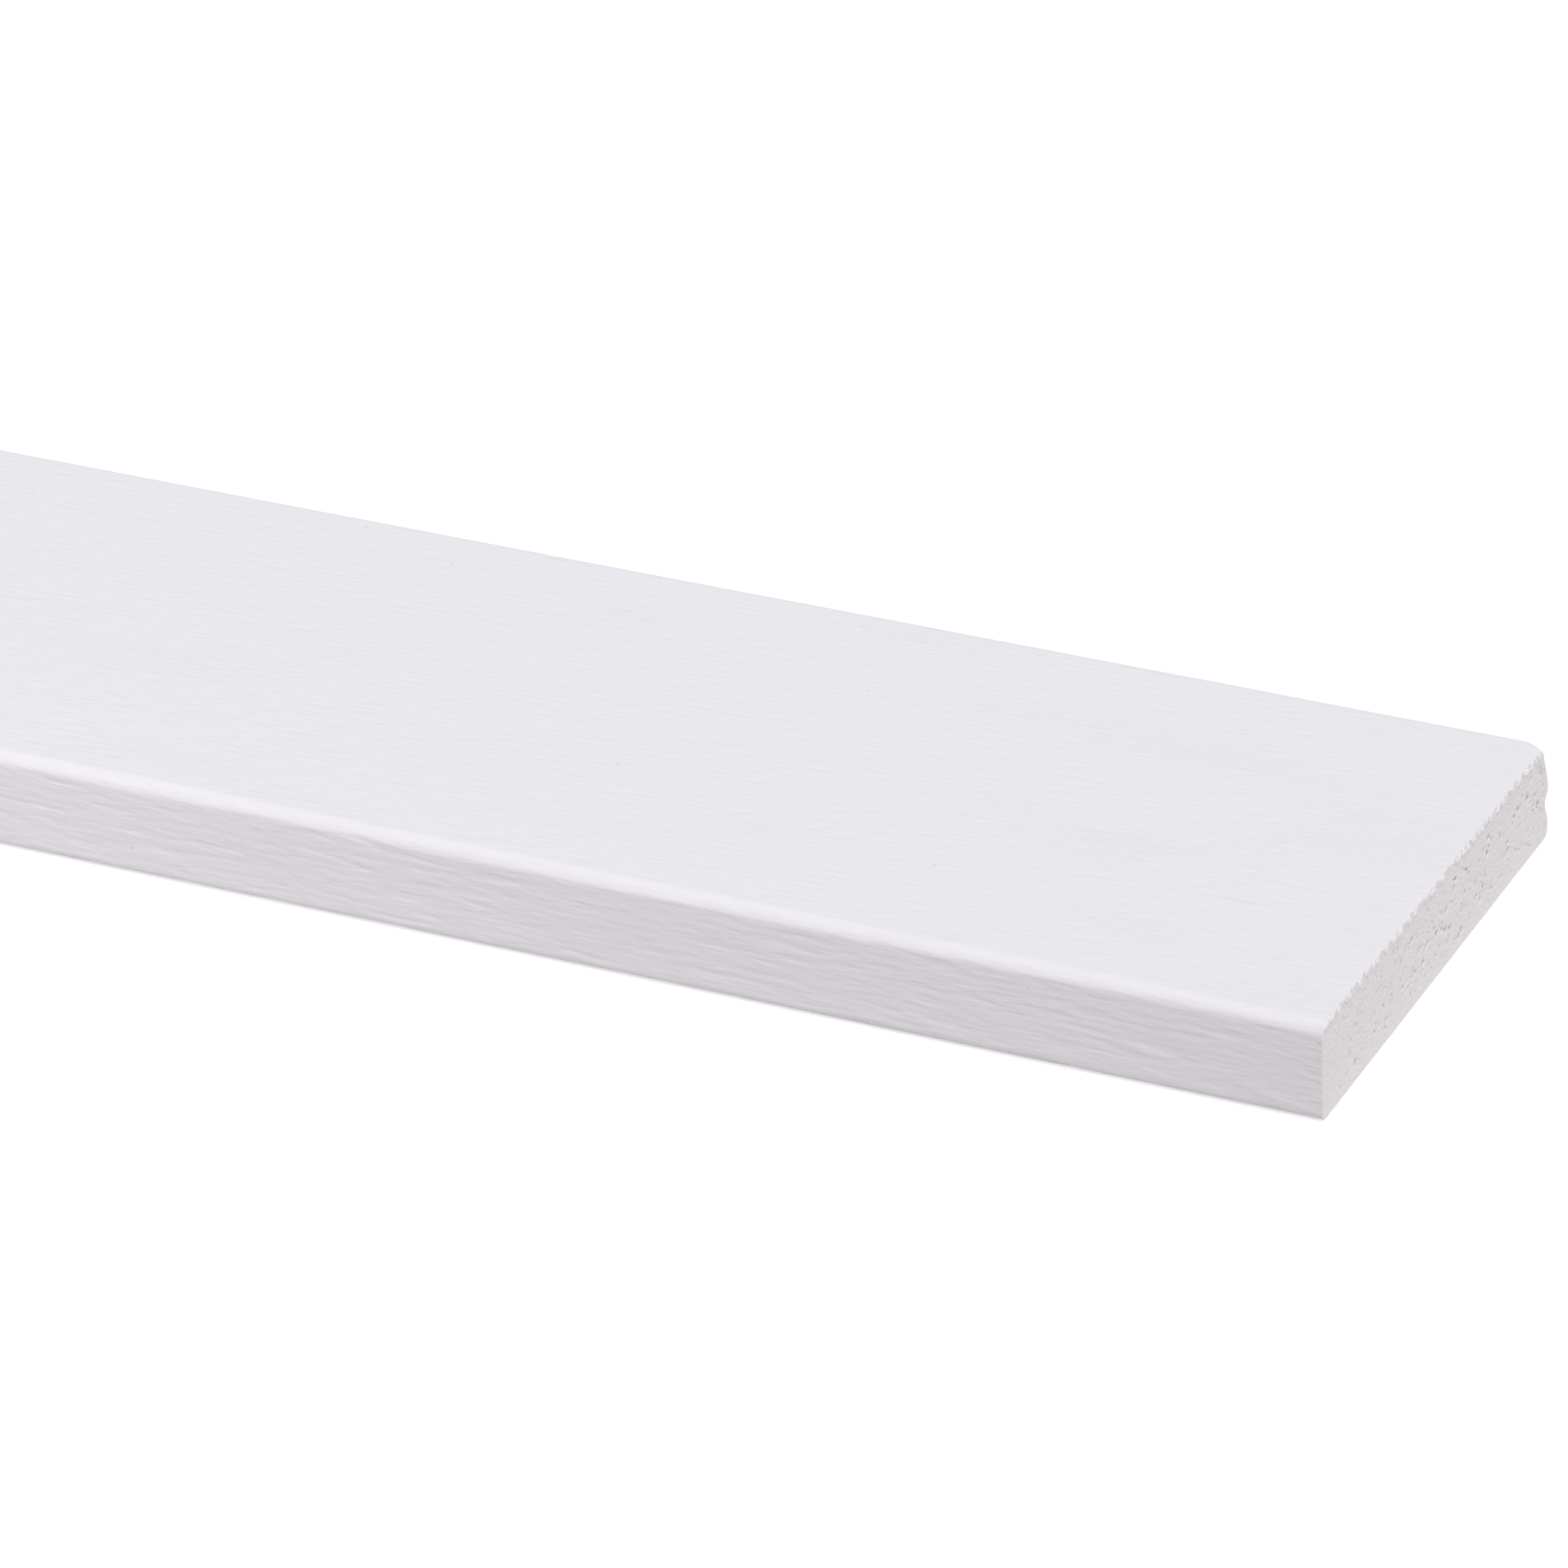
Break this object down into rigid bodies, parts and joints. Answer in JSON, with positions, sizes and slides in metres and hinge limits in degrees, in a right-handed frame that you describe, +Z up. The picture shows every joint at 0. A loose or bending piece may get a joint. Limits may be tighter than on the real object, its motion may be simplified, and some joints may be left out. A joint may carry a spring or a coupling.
{
  "type": "planed batten",
  "caption": "Long flat batten of white foamed plastic with an embossed wood grain, eased long edges and sawn ends, for use as trim, cover strip or facing.",
  "frame": {"origin": "middle of the back, at half the length and half the width, on the surface that the batten lies on", "axes": "+X along the length towards the sawn end that the picture shows, +Y across the width, +Z up through the thickness from the back to the face"},
  "size_m": [2.4, 0.05, 0.009],
  "materials": {
    "foamed_plastic": "satin skin embossed with a fine wood grain, sawn ends open to the foam"
  },
  "bodies": {
    "root": {"batten": "foamed_plastic"}
  },
  "joints": []
}
